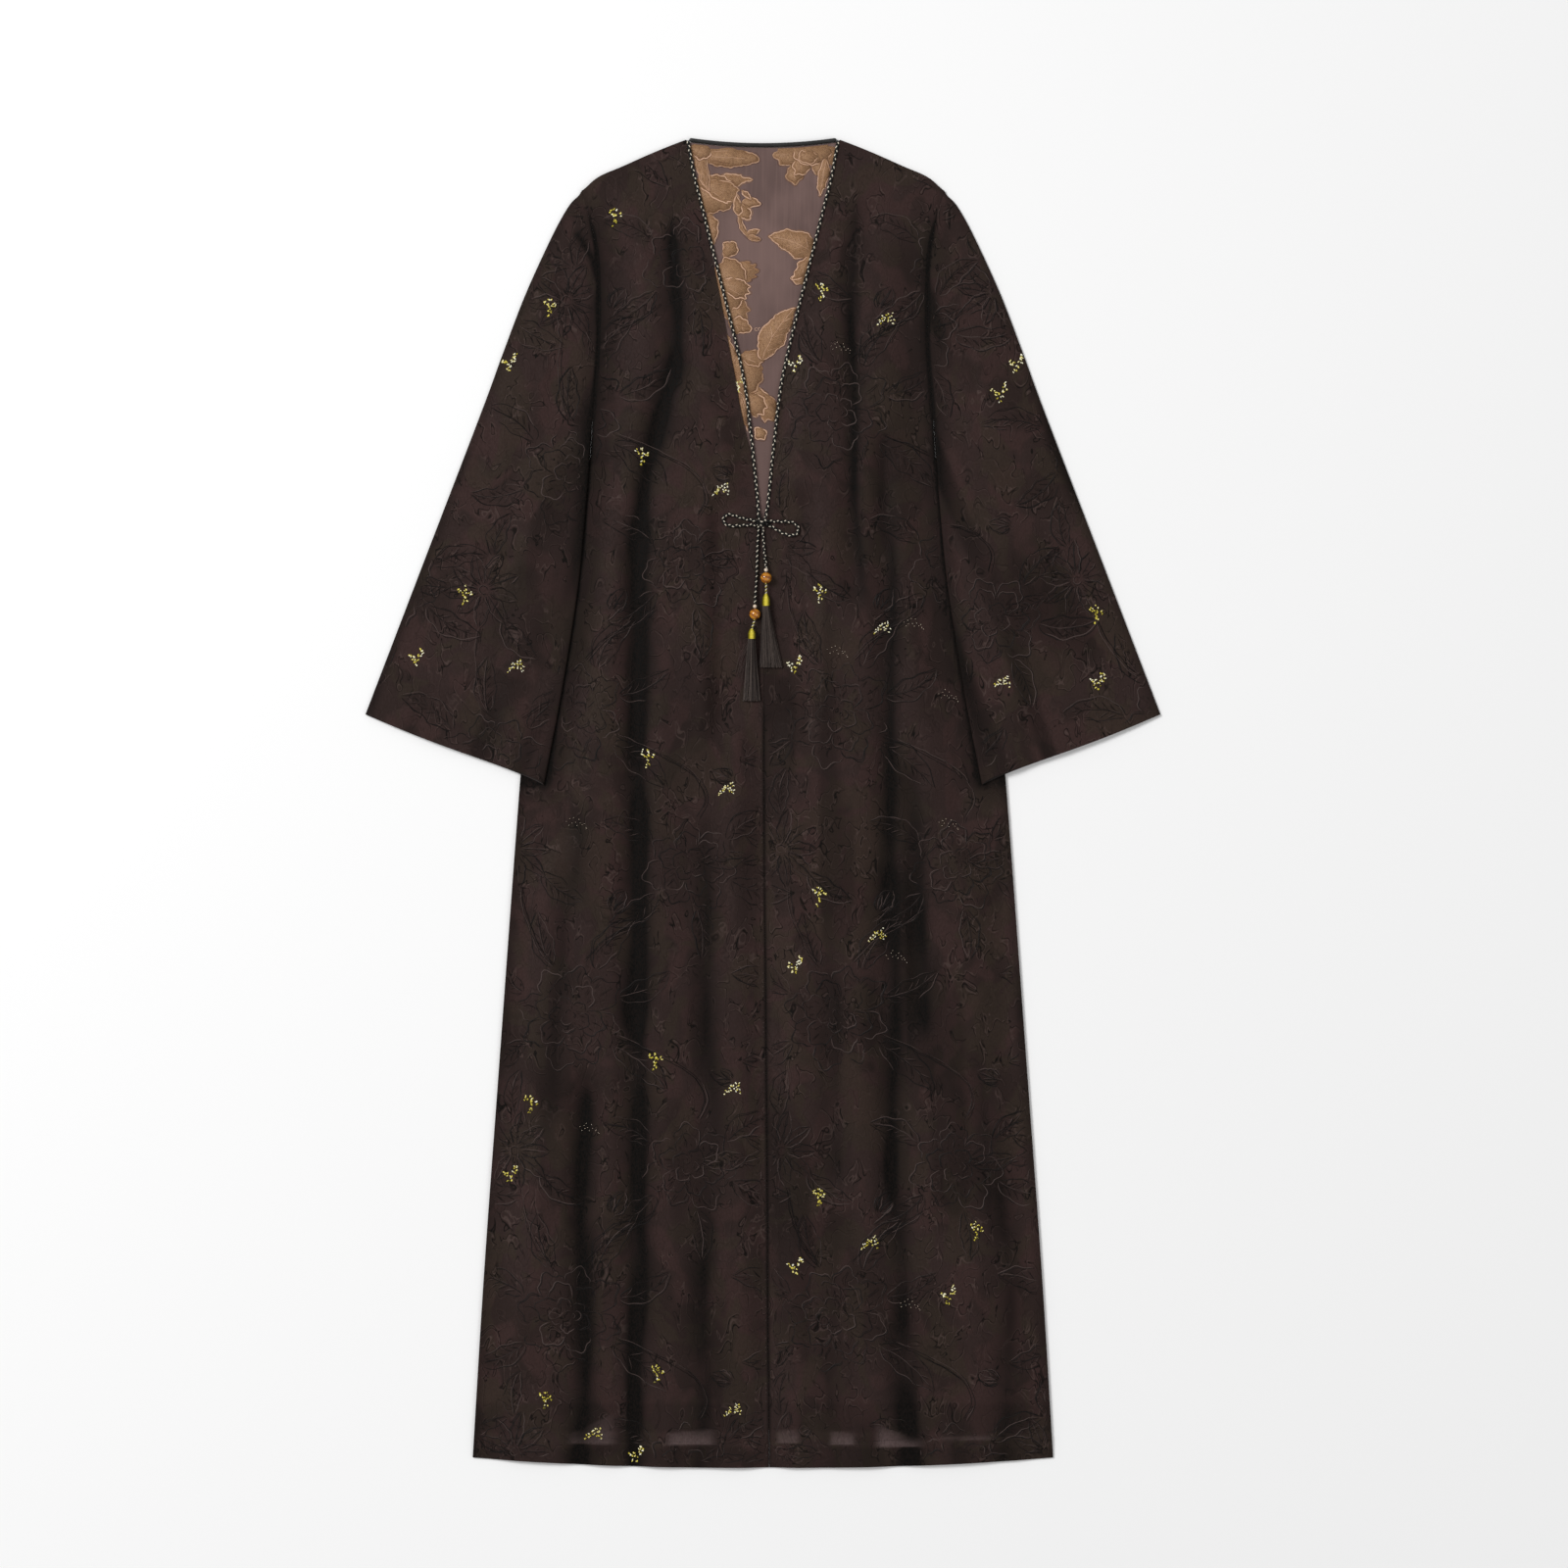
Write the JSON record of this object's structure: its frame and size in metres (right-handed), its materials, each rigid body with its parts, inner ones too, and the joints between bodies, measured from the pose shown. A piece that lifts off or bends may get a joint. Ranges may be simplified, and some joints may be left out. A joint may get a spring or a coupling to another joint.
{
  "type": "abaya",
  "caption": "Long open-front abaya in dark brown figured organza with wide sleeves and a V neck tied by a beaded, tasselled cord, laid flat.",
  "frame": {"origin": "middle of the garment's outline as it lies, on the surface under it", "axes": "+Y up the garment to the neck, +X to the right of someone looking down on its front, +Z away from the surface"},
  "size_m": [0.811, 1.3561, 0.0144],
  "materials": {
    "figured_cloth": "dark brown figured organza, right side, soft sheen, gold sprigs",
    "wrong_side_cloth": "mauve grey sheer ground with tan figures, wrong side",
    "binding": "black rolled binding",
    "braided_cord": "black braid with cream flecks",
    "pearl": "small pearly bead",
    "amber": "glossy banded amber brown",
    "gold_thread": "metallic yellow gold thread, wound",
    "tassel_thread": "charcoal thread"
  },
  "bodies": {
    "root": {"back": "wrong_side_cloth", "front_left": "figured_cloth", "front_right": "figured_cloth", "sleeve_left": "figured_cloth", "sleeve_right": "figured_cloth", "neck_binding": "binding", "neckline_cord_left": "braided_cord", "neckline_cord_right": "braided_cord", "bow_knot": "braided_cord", "bow_loop_left": "braided_cord", "bow_loop_right": "braided_cord", "tie_left": "braided_cord", "tie_right": "braided_cord", "seed_bead_left": "pearl", "seed_bead_right": "pearl", "amber_bead_left": "amber", "amber_bead_right": "amber", "tie_link_left": "gold_thread", "tie_link_right": "gold_thread", "tassel_cap_left": "gold_thread", "tassel_cap_right": "gold_thread", "tassel_left": "tassel_thread", "tassel_right": "tassel_thread"}
  },
  "joints": []
}
